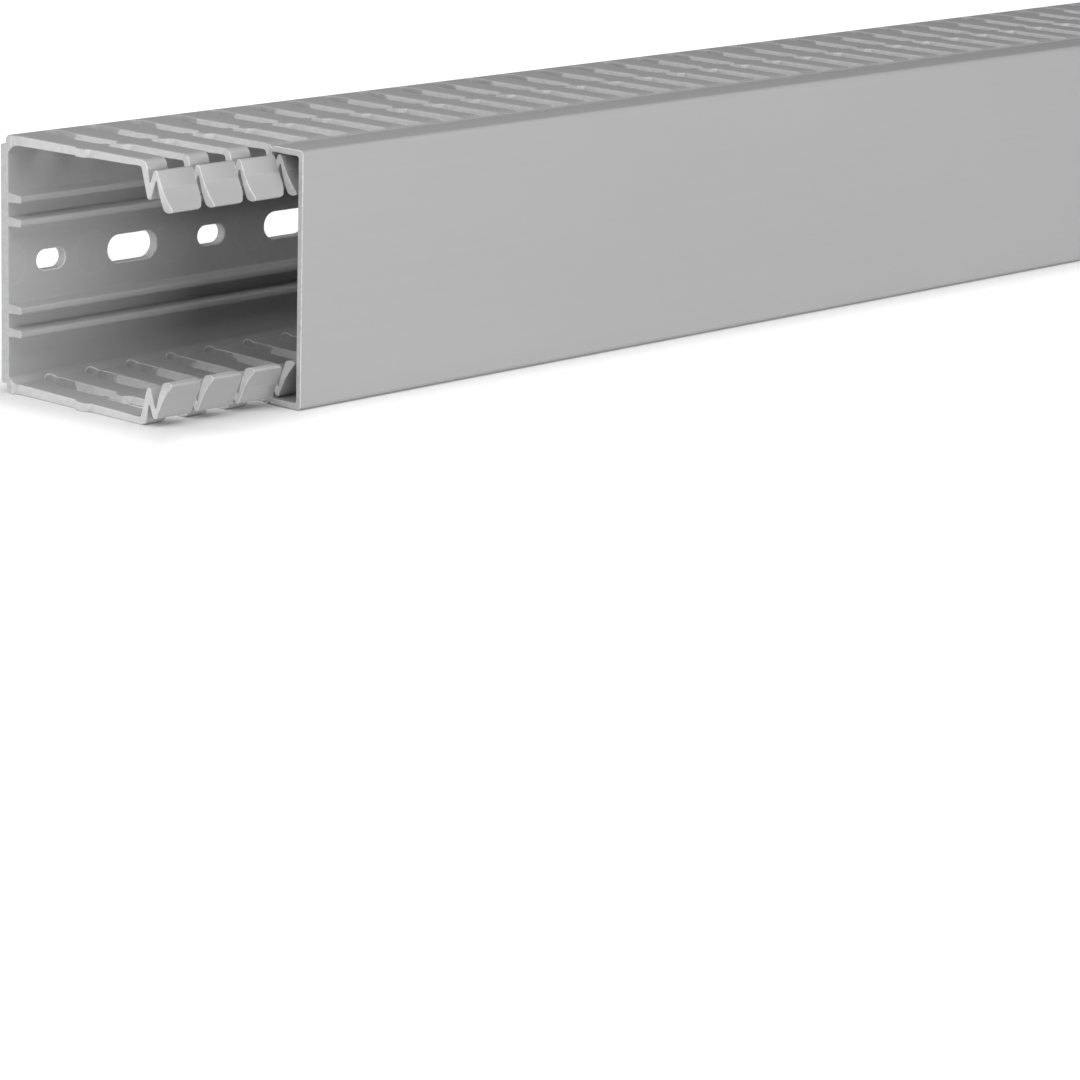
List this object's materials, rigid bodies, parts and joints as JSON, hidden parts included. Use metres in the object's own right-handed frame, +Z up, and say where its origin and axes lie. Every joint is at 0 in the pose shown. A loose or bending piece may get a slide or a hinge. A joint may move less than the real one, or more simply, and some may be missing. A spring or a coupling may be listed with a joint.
{
  "type": "slotted wire duct",
  "caption": "Straight length of U-shaped wiring duct with snap-finger side walls, a drilled base and a clip-on cover that slides along it.",
  "frame": {"origin": "middle of the footprint on the floor, with the duct lying on one slotted wall", "axes": "+X along the duct, away from the end where the trunking shows past the cover; +Y out of the back of the base plate; -Y out of the cover; +Z up"},
  "size_m": [0.5376, 0.06, 0.06],
  "materials": {
    "trunking": "satin rigid PVC",
    "cover": "satin rigid PVC"
  },
  "bodies": {
    "trunking": {"trunking": "trunking"},
    "cover": {"cover": "cover"}
  },
  "joints": [
    {"name": "cover_slide", "type": "slide", "parent": "trunking", "child": "cover", "axis": [1, 0, 0], "range_m": [-0.0375, 0.4]}
  ]
}
